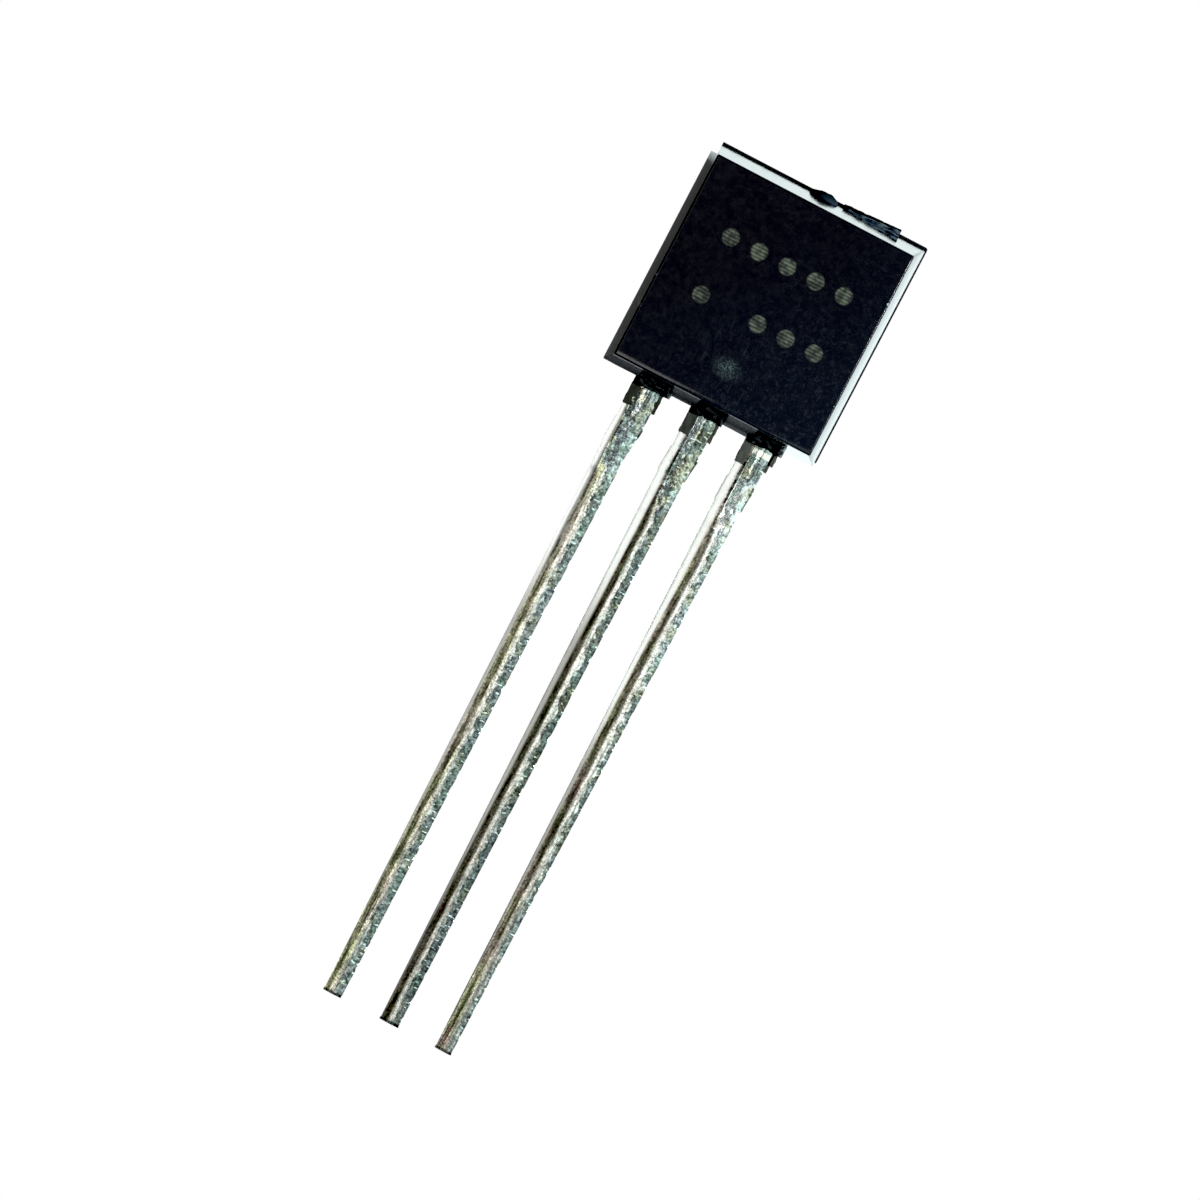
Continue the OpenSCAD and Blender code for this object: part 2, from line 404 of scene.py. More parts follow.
def slice_off(bm, point, normal):
    """Cuts away what lies beyond a plane and closes the cut."""
    everything = [*bm.verts, *bm.edges, *bm.faces]
    cut = bmesh.ops.bisect_plane(
        bm, geom=everything, dist=1e-6, plane_co=point, plane_no=normal, clear_outer=True
    )
    rim = [item for item in cut["geom_cut"] if isinstance(item, bmesh.types.BMEdge)]
    bmesh.ops.contextual_create(bm, geom=rim)


def divide(bm, point, normal):
    """Divides the faces along a plane."""
    everything = [*bm.verts, *bm.edges, *bm.faces]
    bmesh.ops.bisect_plane(bm, geom=everything, dist=1e-5, plane_co=point, plane_no=normal)


print("blanks: box, prism. Cuts: slice_off, divide")

# %% [markdown]
# Moulded edges are rounded by a bevel. Torn resin is a blank whose long edges are divided until
# they are short, and whose vertices then move by smooth noise. Vector noise starts from the
# clock unless its seed is set, so a fixed seed keeps the shapes from one run to the next.

# %% Rounded and torn
NOISE_SEED = 1
TEAR_ROUNDS = 6
noise.seed_set(NOISE_SEED)


def round_edges(bm, edges, offset, segments=3):
    """Rounds edges with an even arc."""
    bmesh.ops.bevel(
        bm, geom=list(edges), offset=offset, offset_type="OFFSET", segments=segments,
        profile=0.5, affect="EDGES", material=-1, clamp_overlap=True
    )


def torn(bm, edge_length, height, size, seed):
    """Divides a shape and moves its vertices by smooth noise, as broken resin looks."""
    in_order(bm)
    bmesh.ops.recalc_face_normals(bm, faces=bm.faces[:])
    for _ in range(TEAR_ROUNDS):
        long_edges = [edge for edge in bm.edges if edge.calc_length() > edge_length]
        if not long_edges:
            break
        bmesh.ops.subdivide_edges(bm, edges=long_edges, cuts=1)
        wide = [face for face in bm.faces if len(face.verts) > 4]
        bmesh.ops.triangulate(bm, faces=wide, ngon_method="EAR_CLIP")
    offset = Vector((seed, 2.3 * seed, 3.7 * seed))
    for vert in bm.verts:
        vert.co += noise.noise_vector(vert.co / size + offset) * height


print("edges: round_edges, torn")

# %% [markdown]
# The Boolean modifier's manifold solver joins closed blanks, and it is quick and steady where
# many of them touch. A finished piece is laid down in the row frame and shaded smooth, except
# at edges that turn sharply or lie between a moulded and a torn face.

# %% Helpers for pieces
SHARP_ANGLE = math.radians(32)
MOULDED, TORN = 0, 1


def as_object(name, bm, finish=MOULDED):
    """A plain object in millimetres, still in the body's own frame."""
    in_order(bm)
    bmesh.ops.recalc_face_normals(bm, faces=bm.faces[:])
    for face in bm.faces:
        face.material_index = finish
    mesh = bpy.data.meshes.new(name)
    bm.to_mesh(mesh)
    bm.free()
    for _ in (MOULDED, TORN):
        mesh.materials.append(None)
    return in_scene(name, mesh)


def cad_copy(node):
    """A copy of a CAD node's mesh in the body's own frame, merged along its edges."""
    bm = bmesh.new()
    bm.from_mesh(frame["nodes"][node].data)
    bm.transform(LAID.inverted())
    bmesh.ops.remove_doubles(bm, verts=bm.verts[:], dist=1e-5)
    return bm


def combine(base, added=(), taken=()):
    """Joins objects to a base object and cuts others out of it. Returns the new bmesh."""
    for operation, others in (("UNION", added), ("DIFFERENCE", taken)):
        for other in others:
            step = base.modifiers.new("combine", "BOOLEAN")
            step.operation = operation
            step.solver = "MANIFOLD"
            step.object = other
    result = bmesh.new()
    result.from_object(base, bpy.context.evaluated_depsgraph_get())
    for used in [base, *added, *taken]:
        bpy.data.objects.remove(used)
    return result


def piece(name, bm, materials, replaced):
    """Lays a finished bmesh down in the row frame and hands it over to the frame."""
    bmesh.ops.dissolve_degenerate(bm, edges=bm.edges[:], dist=1e-5)
    bmesh.ops.recalc_face_normals(bm, faces=bm.faces[:])
    open_edges = sum(not edge.is_manifold for edge in bm.edges)
    for edge in bm.edges:
        finishes = {face.material_index for face in edge.link_faces}
        edge.smooth = len(finishes) == 1 and edge.calc_face_angle(0) < SHARP_ANGLE
    for face in bm.faces:
        face.smooth = True
    bm.transform(LAID)
    mesh = bpy.data.meshes.new(name)
    bm.to_mesh(mesh)
    bm.free()
    for material in materials:
        mesh.materials.append(material)
    made = in_scene(name, mesh)
    made.modifiers.new("even_shading", "WEIGHTED_NORMAL").keep_sharp = True
    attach(made, "root")
    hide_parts(*replaced)
    mesh.calc_loop_triangles()
    print(f"{name}: {len(mesh.loop_triangles)} triangles, {open_edges} open edges")


print("pieces: as_object, cad_copy, combine, piece")

# %% [markdown]
# ## Leads
#
# The three leads were pressed out of one strip of sheet, so the left edge of each is drawn over
# into a wide smooth shoulder. The hot tin bath then left a coat that is smooth on the shoulder
# and crackled beside it. A blank cube, divided into rings, is bent into that section: a list of
# widths and tilts says how the front turns, from its rounded left edge over a steep flank, a
# gentle slope and a nearly level crest to a face that leans a little to the right.

# %% Sizes of the leads
ROOT_WIDTH = 0.64
TIE_GAP = 0.92
TIE_HEIGHT = 0.54
TIE_STUB = 0.02
TIE_FOOT = TIE_GAP + TIE_HEIGHT
# Tilt in degrees where each stretch of the front begins and ends, and its number of faces
EDGE, FLANK, SHOULDER = (45, 42.5, 2), (40.5, 32, 5), (30, 22, 3)
SLOPE, CREST, FACE = (20, 10, 6), (7, 2.5, 5), (-3, -14, 12)
EDGE_WIDTH = 0.012
SHOULDER_WIDTH = 0.05
CREST_WIDTH = 0.11
ROOT_TILT = -1
LEVEL_SPAN = (-1.0, -0.6)
FLANK_SPAN = (3, 5.5)
ROOT_LEFT, ROOT_RIGHT = -0.32, 0.28
FRONT_STEPS = sum(row[2] for row in (EDGE, FLANK, SHOULDER, SLOPE, CREST, FACE))
# For each lead: its middle, and where its left side, its right side, the end of its flank and
# the start of its crest lie near the body and near the tip
LEAD_SHAPES = {
    "collector": (LEAD_X[0], (-0.335, -0.198), (0.225, 0.195), (-0.25, -0.2), (-0.07, -0.09)),
    "base": (LEAD_X[1], (-0.345, -0.187), (0.235, 0.22), (-0.17, -0.18), (-0.04, -0.04)),
    "emitter": (LEAD_X[2], (-0.33, -0.2), (0.25, 0.145), (-0.15, -0.178), (0.01, -0.075)),
}
print(f"{FRONT_STEPS} faces across the front of a lead")

# %% [markdown]
# The section is drawn from the left: each stretch has a width and a tilt that goes from one
# angle to another, and the tangent of the tilt says how far each small step climbs. Near the
# body the lead was not drawn over yet, so there the slope stays level.

# %% Section of a lead
def taper(y):
    """0 at the tie bar and above it, 1 at the tip."""
    return max(0.0, (-y - TIE_FOOT) / (LEAD_LENGTH - TIE_FOOT))


def sides(shape, y):
    """Left and right side of a lead at that height over the foot of the body."""
    left, right = (mix(*shape[side], taper(y)) for side in (1, 2))
    stub = TIE_STUB if TIE_GAP < -y < TIE_FOOT else 0.0
    root = ease(y, -TIE_FOOT, -TIE_GAP)
    return mix(left, ROOT_LEFT, root) - stub, mix(right, ROOT_RIGHT, root) + stub


def front_line(shape, y, worked, sway):
    """Points (x, z) of a lead's front, from its low left edge to its right edge."""
    left, right = sides(shape, y)
    flank = max(ROOM, mix(*shape[3], ease(-y, *FLANK_SPAN)) - left - EDGE_WIDTH)
    start = left + EDGE_WIDTH + flank + SHOULDER_WIDTH
    slope = max(ROOM, mix(*shape[4], taper(y)) - start)
    face = right - start - slope - CREST_WIDTH
    level = max(worked, ease(y, *LEVEL_SPAN))
    slope_tilts = [mix(ROOT_TILT, tilt, worked) for tilt in SLOPE[:2]]
    crest_tilts = [mix(ROOT_TILT, tilt, level) for tilt in CREST[:2]]
    rows = (
        (EDGE_WIDTH, *EDGE), (flank, *FLANK), (SHOULDER_WIDTH, *SHOULDER),
        (slope, *slope_tilts, SLOPE[2]), (CREST_WIDTH, *crest_tilts, CREST[2]), (face, *FACE),
    )
    line = [(left, 0.0)]
    for width, tilt_from, tilt_to, steps in rows:
        for step in range(steps):
            tilt = mix(tilt_from, tilt_to, (step + 0.5) / steps) + sway
            x, z = line[-1]
            line.append((x + width / steps, z + width / steps * math.tan(math.radians(tilt))))
    lift = LEAD_HALF_T - max(z for _, z in line)
    return [(x, z + lift) for x, z in line]


tip_left, tip_right = sides(LEAD_SHAPES["base"], -LEAD_LENGTH)
print(f"the middle lead is {ROOT_RIGHT - ROOT_LEFT:.2f} mm wide at the body")
print(f"and {tip_right - tip_left:.2f} mm at its tip")

# %% [markdown]
# The crackle covers the whole front near the body, and below that only its right half. The
# same rule shapes the mesh and, later, the material.

# %% Where the tin crackled
CRACKLE_TOP = -1.5
CRACKLE_FOOT = -2.6
CRACKLE_EDGE = 0.055
CRACKLE_LEFT, CRACKLE_TURN = -0.175, 0.02
CRACKLE_SOFT = 0.04
COARSE_SIZE, COARSE_HEIGHT = 0.12, 0.0055
FINE_SIZE, FINE_HEIGHT = 0.06, 0.0015
NICK_SIZE, NICK_DEPTH, NICK_FROM, NICK_FULL = 0.2, 0.025, 0.1, 0.7
SIDE_HEIGHT = 0.004


def crackle(middle, x, y):
    """1 where the coat is crackled and 0 where it is smooth, x from the lead's middle."""
    edge = mix(CRACKLE_EDGE, CRACKLE_LEFT, ease(y, CRACKLE_FOOT, CRACKLE_TOP))
    edge += CRACKLE_TURN * middle
    return ease(x, edge - CRACKLE_SOFT, edge + CRACKLE_SOFT)


def rough_tin(vert, middle, right):
    """Moves a vertex of a lead's skin as the crackled coat and the sheared edges lie."""
    x, y = vert.co.x - middle, vert.co.y
    coarse = noise.noise(vert.co / COARSE_SIZE)
    fine = noise.noise(vert.co / FINE_SIZE)
    if vert.co.z > 0:
        rise = (coarse - 0.5) * COARSE_HEIGHT + (fine - 0.5) * FINE_HEIGHT
        vert.co.z += crackle(middle, x, y) * rise
    if x > right - ROOM:
        nick = noise.noise(Vector((middle, y, 0)) / NICK_SIZE) + fine * 0.4
        vert.co.x -= NICK_DEPTH * ease(nick, NICK_FROM, NICK_FULL) + SIDE_HEIGHT * coarse


print(f"crackle up to {1000 * COARSE_HEIGHT:.1f} microns high")

# %% [markdown]
# A blade is the visible length of a lead. The cube's edges along each axis are divided into
# rings, columns and layers, and then every vertex is carried to its place in the section. Small
# sways of the tilt along the lead keep its highlights from looking ruled. The shears that cut
# the tip pressed its end down a little.

# %% Blades
RING = 0.02
CUT_LENGTH = 0.05
CUT_DROP = 0.035
CUT_FLARE = 0.012
LAYERS = 5
SWAYS = ((0.9, 0.9), (0.22, 0.7))
BEND_SIZE, BEND_SWING = 0.3, 0.4
NECK_Y, NECK = 0.12, 0.95


def blade(name, from_y, to_y, worked):
    """One lead as a divided cube, bent into its section. A worked lead gets its rough coat."""
    shape = LEAD_SHAPES[name]
    middle = shape[0]
    bm = bmesh.new()
    bmesh.ops.create_cube(bm, size=2)
    rings = round((to_y - from_y) / RING)
    for axis, cuts in ((1, rings), (0, FRONT_STEPS - 1), (2, LAYERS - 1)):
        edges = [
            edge for edge in bm.edges
            if near(abs(edge.verts[0].co[axis] - edge.verts[1].co[axis]), 2)
        ]
        bmesh.ops.subdivide_edges(bm, edges=edges, cuts=cuts, use_grid_fill=True)
    lines = {}
    for vert in bm.verts:
        u, v, w = vert.co
        y = mix(from_y, to_y, (v + 1) / 2)
        key = round(v * 1e5)
        if key not in lines:
            spot = Vector((middle, y, 0))
            sway = sum(noise.noise(spot / size) * tilt for size, tilt in SWAYS) if worked else 0.0
            swing = BEND_SWING * noise.noise(spot / BEND_SIZE)
            bent = 1 - ease(y + swing, CRACKLE_FOOT, CRACKLE_TOP)
            lines[key] = *sides(shape, y), front_line(shape, y, bent, sway)
        left, right, line = lines[key]
        x, z = line[round((u + 1) / 2 * FRONT_STEPS)]
        share = (w + 1) / 2
        low_x = mix(left, right, (u + 1) / 2)
        vert.co = (middle + mix(low_x, x, share), y, mix(-LEAD_HALF_T, z, share))
        if worked:
            rough_tin(vert, middle, right)
            cut = ease(-y, LEAD_LENGTH - CUT_LENGTH, LEAD_LENGTH)
            vert.co.x += CUT_FLARE * cut * u
            vert.co.z -= CUT_DROP * cut * share
        if y > NECK_Y:
            vert.co.x = mix(middle, vert.co.x, NECK)
            vert.co.z *= NECK
    return bm


print(f"a ring of vertices every {RING:.2f} mm along a lead")

# %% [markdown]
# ## Tin
#
# Tin is a metal, so its colour is the colour of its mirror image. The coat is crackled on the
# right and smooth on the drawn shoulder, and a ragged line between them wanders with noise. The
# line follows the same rule as the mesh, so that colour and shape agree.

# %% Where the tin's colour changes
tin = Paint("tinned_lead")
tin_place = tin.own_coords()
tin_x, tin_y, _ = tin.split(tin_place)
tin_across = tin.calc("WRAP", tin_x, PITCH / 2, -PITCH / 2)
tin_third = tin.fit(tin_x, 0.6, 0.7)
tin_second = tin.fit(tin.calc("ABSOLUTE", tin_x), 0.7, 0.6)

tin_left = tin.line(tin_x, CRACKLE_TURN, CRACKLE_LEFT)
tin_ragged = tin.calc("SUBTRACT", tin.noise(tin_place, 0.25, 2.0, 0.6), 0.5)
tin_down = tin.fit(tin.line(tin_ragged, 2.5, tin_y), CRACKLE_TOP, CRACKLE_FOOT)
tin_edge = tin.line(tin_down, CRACKLE_EDGE - CRACKLE_LEFT, tin_left)
tin_wander = tin.calc("SUBTRACT", tin.noise(tin_place, 0.2, 4.0, 0.6), 0.5)
tin_side = tin.calc("SUBTRACT", tin_across, tin_edge)
tin_side = tin.line(tin_wander, 0.45, tin_side)
tin_crackled = tin.fit(tin_side, -0.03, 0.05)
print("tin: crackled on the right, smooth on the shoulder")

# %% [markdown]
# The crackled coat runs from slate to green, with dark pits where the flux burned in and a few
# bright breaks. It is greyer on the middle lead and brighter on the right one. The sheared right
# edge carries little tin and stays darker. Right under the body the coat is drawn in fine lines.

# %% Crackled coat
SLATE_TIN, GREEN_TIN, OLIVE_TIN = (0.85, 0.97, 0.98, 1), (0.8, 1.0, 0.9, 1), (0.97, 1.0, 0.77, 1)

tin_patch = tin.noise(tin_place, 0.4, 2.0)
tin_crust = tin.mix(tin.fit(tin_patch, 0.4, 0.6), SLATE_TIN, GREEN_TIN)
tin_patch = tin.noise(tin_place, 0.25, 2.0, scale=(1, 0.6, 1))
tin_crust = tin.mix(tin.fit(tin_patch, 0.5, 0.66), tin_crust, OLIVE_TIN)
tin_shade = tin.noise(tin_place, 0.1, 2.0, 0.5, scale=(0.9, 1, 1))
tin_shade = tin.fit(tin_shade, 0.3, 0.7, 0.13, 0.47)
tin_fine = tin.noise(tin_place, 0.045, 2.0, 0.5)
tin_fine = tin.fit(tin_fine, 0.3, 0.7, 0.45, 1.6)
tin_lines = tin.noise(tin_place, 0.07, 2.0, 0.5, scale=(1, 0.12, 1))
tin_lines = tin.fit(tin_lines, 0.35, 0.65, 0.13, 0.72)
tin_shade = tin.node("Mix", {0: tin.fit(tin_y, -0.9, -0.6), 2: tin_shade, 3: tin_lines}).outputs[0]
tin_gain = tin.fit(tin_y, -8.0, -4.0, 0.68, 0.84)
tin_extra = tin.fit(tin_y, -6.0, -4.5, -0.02, 0.6)
tin_extra = tin.scale(tin_extra, tin.fit(tin_y, -0.7, -1.1))
tin_gain = tin.line(tin_third, tin_extra, tin_gain)
tin_extra = tin.fit(tin_y, -3.0, -1.5, -0.2, -0.1)
tin_gain = tin.line(tin_second, tin_extra, tin_gain)
tin_top = tin.scale(tin.fit(tin_y, -2.6, -1.7), tin.fit(tin_y, -0.7, -1.0))
tin_extra = tin.line(tin_third, 1.25, 0.78)
tin_gain = tin.line(tin_top, tin_extra, tin_gain)
tin_shade = tin.scale(tin_shade, tin.scale(tin_gain, tin_fine))
tin_right = tin.line(tin_y, 0.005, 0.015)
tin_right = tin.scale(tin_right, tin_third)
tin_right = tin.calc("ADD", tin_right, tin.line(tin_y, 0.003, 0.24))
tin_right = tin.calc("SUBTRACT", tin_across, tin_right)
tin_shade = tin.scale(tin_shade, tin.fit(tin_right, -0.045, -0.01, 1.0, 0.7))
tin_break = tin.noise(tin_place, 0.09, 2.0, scale=(0.5, 1.4, 1))
tin_shade = tin.calc("MAXIMUM", tin_shade, tin.fit(tin_break, 0.61, 0.69, 0.0, 1.0))
tin_crust = tin.times(tin_crust, tin_shade)
print("tin: slate, green and olive grains")

# %% [markdown]
# The smooth shoulder is stained brown, olive and a little red, in streaks along the lead. Its
# flank's tone is a painted reflection of the table beside it: pale high up, duller lower down
# and darker still towards the tips. Its crest is clean tin, with a painted highlight that is
# brighter near the body and fades towards the tips.

# %% Smooth shoulder
BROWN, OLIVE, RED = (0.46, 0.42, 0.35, 1), (0.43, 0.46, 0.28, 1), (0.36, 0.26, 0.23, 1)
DULL_FLANK, PALE_FLANK = (0.4, 0.4, 0.38, 1), (0.84, 0.86, 0.84, 1)
WARM_CREST, COOL_CREST = (0.84, 0.83, 0.75, 1), (0.74, 0.78, 0.72, 1)

tin_stain = tin.noise(tin_place, 0.3, 3.0, scale=(1, 0.3, 1))
tin_smooth = tin.mix(tin.fit(tin_stain, 0.35, 0.65), BROWN, OLIVE)
tin_patch = tin.fit(tin.noise(tin_place, 0.14, 2.0, scale=(1, 0.35, 1)), 0.52, 0.7)
tin_patch = tin.scale(tin_patch, tin.fit(tin_x, -0.7, -0.6, 0.25, 1.0))
tin_smooth = tin.mix(tin_patch, tin_smooth, RED)
tin_drawn = tin.noise(tin_place, 0.05, 3.0, scale=(1, 0.1, 1))
tin_gain = tin.fit(tin_drawn, 0.32, 0.68, 0.35, 1.8)
tin_gain = tin.scale(tin_gain, tin.fit(tin_y, -6.0, -3.5, 0.95, 1.4))
tin_less = tin.scale(tin_second, tin.fit(tin_y, -5.5, -4.0, -0.6, -0.75))
tin_gain = tin.scale(tin_gain, tin.calc("ADD", tin_less, 1.0))
tin_less = tin.scale(tin_third, tin.fit(tin_y, -12.5, -9.0, 0.1, -0.35))
tin_gain = tin.scale(tin_gain, tin.calc("ADD", tin_less, 1.0))
tin_smooth = tin.times(tin_smooth, tin.scale(tin_gain, tin_fine))
# painted reflection: the flank is pale high up, duller lower down and darker towards the tips
tin_pale = tin.line(tin_third, 2.2, tin_y)
tin_flank_reflection = tin.mix(tin.fit(tin_pale, -5.6, -3.4), DULL_FLANK, PALE_FLANK)
tin_flank_reflection = tin.times(tin_flank_reflection, tin.fit(tin_y, -12.0, -8.5, 0.5, 1.0))
tin_flank = tin.line(tin.calc("MINIMUM", tin_x, 0.0), -0.028, tin_across)
tin_low_third = tin.scale(tin_third, tin.fit(tin_y, -3.0, -5.5))
tin_flank = tin.line(tin_low_third, 0.025, tin_flank)
tin_smooth = tin.mix(tin.fit(tin_flank, -0.19, -0.14), tin_flank_reflection, tin_smooth)
# partly painted highlight: the clean tin crest is painted brighter near the body, dimmer at the tips
tin_crest_highlight = tin.mix(tin.fit(tin_stain, 0.4, 0.6), WARM_CREST, COOL_CREST)
tin_crest_highlight = tin.times(tin_crest_highlight, tin.fit(tin_y, -12.0, -5.0, 0.62, 1.12))
tin_crest_highlight = tin.times(tin_crest_highlight, tin.fit(tin_drawn, 0.3, 0.7, 0.6, 1.3))
tin_crest_highlight = tin.times(tin_crest_highlight, tin.fit(tin_fine, 0.45, 1.6, 0.65, 1.25))
tin_less = tin.scale(tin_third, tin.fit(tin_y, -9.0, -12.0))
tin_crest_highlight = tin.times(tin_crest_highlight, tin.line(tin_less, -0.4, 1.0))
tin_smooth = tin.mix(tin.fit(tin_across, -0.09, 0.02), tin_smooth, tin_crest_highlight)
tin_colour = tin.mix(tin_crackled, tin_smooth, tin_crust)
print("tin: stained shoulder, pale flank and clean crest")

# %% [markdown]
# Until the end of the line a tie bar held the leads together. Where it was cut off, and at the
# tips, the bare metal is dark. At the right lead's root a cream band is a painted highlight,
# where a tin fillet would catch the light. Two bumps finish the coat: fine grain where it is
# crackled, and drawn lines everywhere.

# %% Cut edges, painted fillet highlight and grain
FILLET_HIGHLIGHT = (1.0, 0.98, 0.86, 1)

tin_bar = tin.calc("SUBTRACT", tin_across, tin_left)
tin_bar = tin.band(tin_bar, 0.0, 0.045, 0.01)
tin_bar = tin.calc("MAXIMUM", tin_bar, tin.band(tin_across, 0.25, 0.4, 0.01))
tin_bar = tin.scale(tin_bar, tin.band(tin_y, -TIE_FOOT, -TIE_GAP, 0.03))
tin_cut = tin.fit(tin_y, 0.07 - LEAD_LENGTH, 0.04 - LEAD_LENGTH)
tin_bar = tin.calc("MAXIMUM", tin_bar, tin_cut)
tin_colour = tin.times(tin_colour, tin.line(tin_bar, -0.8, 1.0))
# painted highlight: a cream band across the right lead's root
tin_fillet_highlight = tin.scale(tin.band(tin_y, -0.31, -0.19, 0.02), tin_third)
tin_colour = tin.mix(tin_fillet_highlight, tin_colour, FILLET_HIGHLIGHT)

tin_grain = tin.noise(tin_place, 0.05, 2.0, 0.5)
tin_rough = tin.fit(tin_crackled, 0.0, 1.0, 0.3, 0.2)
tin_bumps = tin.bump(tin.scale(tin_grain, tin_crackled), 0.0015)
tin_bumps = tin.bump(tin_drawn, 0.001, tin_bumps)
tin.set(Base_Color=tin_colour, Roughness=tin_rough, Normal=tin_bumps, Metallic=1.0)
print(f"tin: {len(tin.tree.nodes)} nodes")

# %% [markdown]
# Inside the body the leads are wider, with notches and a hole that the resin grips. Nothing of
# that is seen, so each lead takes it from a merged copy of its CAD node, cut off just above the
# foot of the body and joined to the blade there.

# %% Lead pieces
JOINT_Y = 0.2
BLADE_TOP = 0.3


def inside_part(name):
    """What the CAD model says of a lead above the foot of the body."""
    bm = cad_copy(name + "_lead")
    slice_off(bm, (0, JOINT_Y, 0), (0, -1, 0))
    return as_object("inside", bm)


for name in LEAD_SHAPES:
    outside = as_object("blade", blade(name, -LEAD_LENGTH, BLADE_TOP, True))
    lead_bm = combine(outside, added=[inside_part(name)])
    node = name + "_lead"
    piece("tinned_" + node, lead_bm, [tin.material], [node])

# %% [markdown]
# ## Resin
#
# Moulding resin is black with a breath of blue, and it takes the polish of the mould. A slow
# noise paints a bluer, lighter sheen towards the lower right, a painted sheen of light on the
# flat face, and a fine one gives it a faint grain.
# The polish is rubbed off along the edges of the flat face, which therefore stay black.

# %% Polished resin
BLACK_RESIN, BLUE_SHEEN = (0.006, 0.0053, 0.0061, 1), (0.0063, 0.0062, 0.0081, 1)

resin = Paint("moulding_resin")
resin_place = resin.own_coords()
resin_x, resin_y, resin_z = resin.split(resin_place)
resin_cloud = resin.noise(resin_place, 1.2, 4.0)
resin_lean = resin.calc("SUBTRACT", resin_x, resin_y)
resin_lean = resin.line(resin_cloud, 3.0, resin_lean)
# painted sheen: the flat face is painted bluer and lighter towards the lower right
resin_sheen = resin.fit(resin_lean, -3.0, 3.0)
resin_colour = resin.mix(resin_sheen, BLACK_RESIN, BLUE_SHEEN)
resin_grain = resin.noise(resin_place, 0.12, 3.0, 0.5)
resin_rough = resin.fit(resin_grain, 0.3, 0.7, 0.1, 0.15)
resin_bumps = resin.bump(resin_grain, 0.0012)
resin_flat = resin.calc("GREATER_THAN", resin_z, FRONT_DEPTH - 0.02)
resin_rim = resin.band(resin_z, FRONT_DEPTH - 0.05, FRONT_DEPTH - 0.0015, 0.0015)
resin_polish = resin.fit(resin_rim, 0.0, 1.0, 0.5, 0.04)
print("resin: polished black")

# %% [markdown]
# The flat face carries two rows of marks, burned in by a laser in fine hatching and since worn
# thin. Here they are plain dots that say nothing. Wrapping X repeats one dot along a row, the
# distance from its middle draws it, and a band limits the row. Ping-pong makes the hatching.

# %% Rows of hatched dots
MARK_PITCH, MARK_RADIUS, MARK_MIDDLE = 0.635, 0.185, 0.06
MARK_ROWS = ((-2, 2, 3.34), (-2, -2, 2.05), (0, 2, 2.05))
HATCH = 0.07
MARK_GREY = (0.056, 0.06, 0.046, 1)

resin_u = resin.calc("SUBTRACT", resin_x, MARK_MIDDLE)
resin_dot_x = resin.calc("WRAP", resin_u, MARK_PITCH / 2, -MARK_PITCH / 2)
resin_marks = 0.0
for first, last, row_y in MARK_ROWS:
    resin_dot_y = resin.calc("SUBTRACT", resin_y, row_y)
    resin_dot = resin.length(resin_dot_x, resin_dot_y)
    resin_dot = resin.fit(resin_dot, MARK_RADIUS + 0.01, MARK_RADIUS - 0.03)
    first_x, last_x = (first - 0.5) * MARK_PITCH, (last + 0.5) * MARK_PITCH
    resin_dot = resin.scale(resin_dot, resin.band(resin_u, first_x, last_x, 0.01))
    resin_marks = resin.calc("ADD", resin_dot, resin_marks)
resin_hatch = resin.calc("PINGPONG", resin_y, HATCH / 2)
resin_hatch = resin.fit(resin_hatch, 0.1 * HATCH, 0.4 * HATCH, 0.4, 1.0)
resin_worn = resin.fit(resin.noise(resin_place, 0.12, 3.0), 0.35, 0.65, 0.25, 1.0)
for factor in (resin_hatch, resin_worn, resin_flat):
    resin_marks = resin.scale(resin_marks, factor)
resin_colour = resin.mix(resin_marks, resin_colour, MARK_GREY)
print(f"resin: {len(MARK_ROWS)} runs of dots, {MARK_PITCH} mm apart")

# %% [markdown]
# Handling left a pale scuff near the foot of the flat face, faint streaks around it, and a thin
# dust that is heavier on the right.

# %% Scuff and dust
SCUFF = (-0.06, 0.98)
SCUFF_GREY, STREAK_GREY = (0.036, 0.048, 0.051, 1), (0.0095, 0.011, 0.0125, 1)
DUST_GREY = (0.013, 0.0125, 0.017, 1)

resin_far_x = resin.calc("ADD", resin_x, -SCUFF[0])
resin_far_y = resin.calc("ADD", resin_y, -SCUFF[1])
resin_far = resin.length(resin.scale(resin_far_x, 0.75), resin_far_y)
resin_scuff = resin.fit(resin_far, 0.3, 0.0)
resin_dots = resin.fit(resin.noise(resin_place, 0.045, 3.0, 0.7), 0.44, 0.66, 0.1, 1.0)
resin_scuff = resin.scale(resin_scuff, resin_dots)
resin_colour = resin.mix(resin_scuff, resin_colour, SCUFF_GREY)
resin_line = resin.noise(resin_place, 0.04, 2.0, scale=(1, 0.1, 1))
resin_line = resin.scale(resin.fit(resin_line, 0.6, 0.75), resin.fit(resin_far, 1.4, 0.3))
resin_colour = resin.mix(resin_line, resin_colour, STREAK_GREY)
resin_dust = resin.noise(resin_place, 0.07, 3.0, 0.6)
resin_thick = resin.fit(resin_lean, -2.0, 4.0, 0.2, 1.0)
resin_dust = resin.scale(resin.fit(resin_dust, 0.52, 0.72), resin_thick)
resin_dust = resin.scale(resin_dust, resin_flat)
resin_colour = resin.mix(resin_dust, resin_colour, DUST_GREY)
resin.set(Base_Color=resin_colour, Roughness=resin_rough, Normal=resin_bumps, IOR=1.47)
resin.set(Specular_IOR_Level=resin_polish)
print(f"resin: {len(resin.tree.nodes)} nodes")

# %% [markdown]
# Where the resin was torn, or crept out in a thin skin, it is dull and dusty: a rough face
# without any gloss. One material serves all of it, and the place on the body says which bit is
# meant: dark collars; grey skins, whose grey is painted light that lifts them out of their
# shade, more so towards the right; the film at the foot, whose grey is painted shade; the
# streaked gate, whose pale streaks are partly painted highlight; and pale chips.

# %% Torn resin
# Painted shade on the film at the foot: from and to x, and the grey of each stretch
FOOT_SHADE_TONES = ((-2.6, -1.55, 0.07), (-0.83, -0.26, 0.075), (0.4, 1.04, 0.08))

